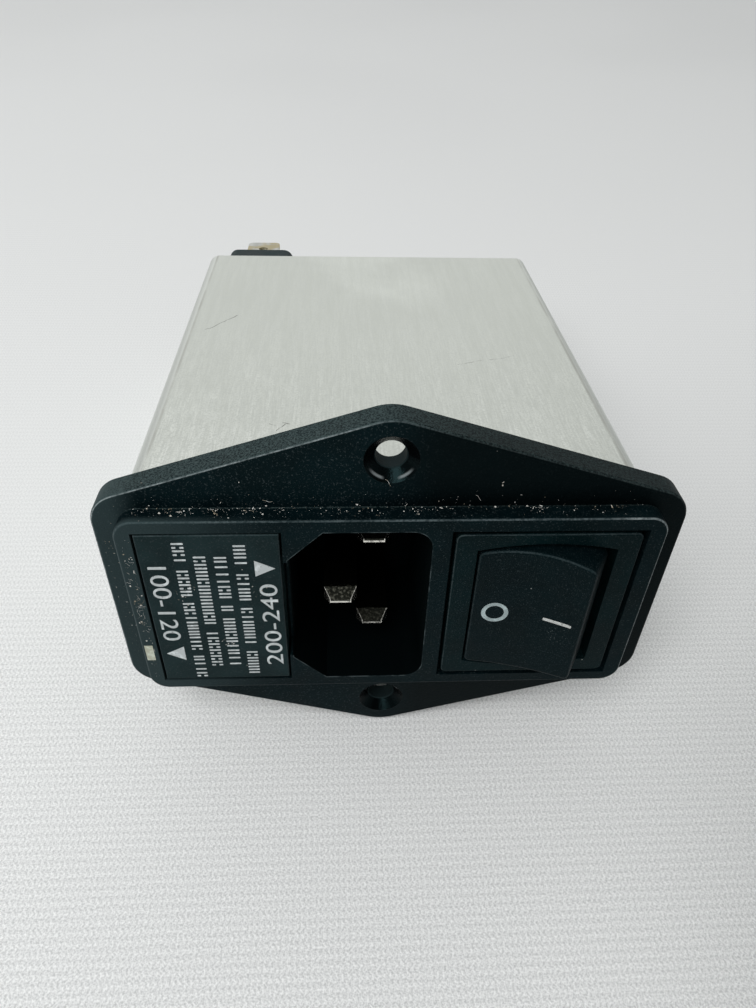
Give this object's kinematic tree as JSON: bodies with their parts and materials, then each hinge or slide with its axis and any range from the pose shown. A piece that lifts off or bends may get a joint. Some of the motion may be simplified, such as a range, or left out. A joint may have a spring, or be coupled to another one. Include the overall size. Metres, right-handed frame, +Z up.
{
  "type": "power entry module",
  "caption": "Panel-mounted mains inlet with a pull-out fuse drawer, a rocker switch and an interference filter in a metal can with flat tabs at the rear.",
  "frame": {"origin": "midway between the two screw holes, on the rear face of the flange", "axes": "+X right seen from the front, +Y into the panel, +Z up"},
  "size_m": [0.0661, 0.0972, 0.0498],
  "materials": {
    "housing_black": "fine moulded texture, worn edges",
    "drawer_black": "fine moulded texture",
    "switch_black": "fine moulded texture",
    "rocker_black": "satin moulded",
    "marker_cream": "moulded inlay",
    "can_metal": "drawn and brushed, satin",
    "pin_nickel": "nickel plated, bright",
    "tab_tin": "tin plated",
    "sleeve_black": "moulded",
    "contact_brass": "bare stamped",
    "fuse_glass": "clear",
    "fuse_nickel": "nickel plated",
    "plunger_nylon": "moulded",
    "spring_steel": "drawn wire",
    "board_green": "coated laminate",
    "core_grey": "sintered",
    "copper_wire": "enamelled",
    "film_yellow": "moulded case",
    "disc_blue": "dipped",
    "resistor_tan": "dipped"
  },
  "bodies": {
    "module": {"bleed_resistor": "resistor_tan", "choke_core": "core_grey", "choke_winding_1": "copper_wire", "choke_winding_2": "copper_wire", "contact_terminal_1": "contact_brass", "contact_terminal_2": "contact_brass", "earth_pin": "pin_nickel", "earth_rivet": "tab_tin", "earth_strap": "contact_brass", "earth_tab": "tab_tin", "filter_board": "board_green", "filter_can": "can_metal", "front_housing": "housing_black", "fuse_contact_1": "contact_brass", "fuse_contact_2": "contact_brass", "fuse_contact_3": "contact_brass", "fuse_contact_4": "contact_brass", "hinge_terminal_1": "contact_brass", "hinge_terminal_2": "contact_brass", "index_marker": "marker_cream", "line_pin": "pin_nickel", "neutral_pin": "pin_nickel", "output_tab_1": "tab_tin", "output_tab_2": "tab_tin", "output_tab_3": "tab_tin", "output_tab_4": "tab_tin", "selector_contact_1": "contact_brass", "selector_contact_2": "contact_brass", "selector_contact_3": "contact_brass", "selector_contact_4": "contact_brass", "switch_body": "switch_black", "terminal_bushing_1": "sleeve_black", "terminal_bushing_2": "sleeve_black", "terminal_bushing_3": "sleeve_black", "terminal_bushing_4": "sleeve_black", "x_capacitor": "film_yellow", "y_capacitor_1": "disc_blue", "y_capacitor_2": "disc_blue"},
    "drawer": {"fuse_drawer": "drawer_black", "selector_jumper_1": "contact_brass", "selector_jumper_2": "contact_brass", "fuse_tube_1": "fuse_glass", "fuse_wire_1": "fuse_nickel", "fuse_cap_upper_1": "fuse_nickel", "fuse_cap_lower_1": "fuse_nickel", "fuse_tube_2": "fuse_glass", "fuse_wire_2": "fuse_nickel", "fuse_cap_upper_2": "fuse_nickel", "fuse_cap_lower_2": "fuse_nickel"},
    "rocker": {"rocker": "rocker_black", "plunger_spring_1": "spring_steel", "plunger_spring_2": "spring_steel"},
    "plunger_1": {"plunger_1": "plunger_nylon"},
    "plunger_2": {"plunger_2": "plunger_nylon"},
    "lever_1": {"contact_lever_1": "contact_brass"},
    "lever_2": {"contact_lever_2": "contact_brass"}
  },
  "joints": [
    {"name": "drawer_slide", "type": "slide", "parent": "module", "child": "drawer", "axis": [0, -1, 0], "range_m": [0, 0.024]},
    {"name": "rocker_hinge", "type": "hinge", "parent": "module", "child": "rocker", "pos_m": [0.01775, -0.00215, 0], "axis": [0, 0, 1], "range_deg": [0, 30.8]},
    {"name": "lever_1_hinge", "type": "hinge", "parent": "module", "child": "lever_1", "pos_m": [0.01775, 0.0082, 0.005], "axis": [0, 0, 1], "range_deg": [-16.05, 0]},
    {"name": "plunger_1_slide", "type": "slide", "parent": "rocker", "child": "plunger_1", "axis": [0.2656, 0.9641, 0], "range_m": [-0.0005, 0], "stiffness_N_per_m": 400, "springref_m": 0.0005, "deforming": ["plunger_spring_1"]},
    {"name": "lever_2_hinge", "type": "hinge", "parent": "module", "child": "lever_2", "pos_m": [0.01775, 0.0082, -0.005], "axis": [0, 0, 1], "range_deg": [-16.05, 0]},
    {"name": "plunger_2_slide", "type": "slide", "parent": "rocker", "child": "plunger_2", "axis": [0.2656, 0.9641, 0], "range_m": [-0.0005, 0], "stiffness_N_per_m": 400, "springref_m": 0.0005, "deforming": ["plunger_spring_2"]}
  ],
  "couplings": [
    {"joint": "lever_1_hinge", "follows": "rocker_hinge", "ratio": -0.51948},
    {"joint": "lever_2_hinge", "follows": "rocker_hinge", "ratio": -0.51948}
  ]
}
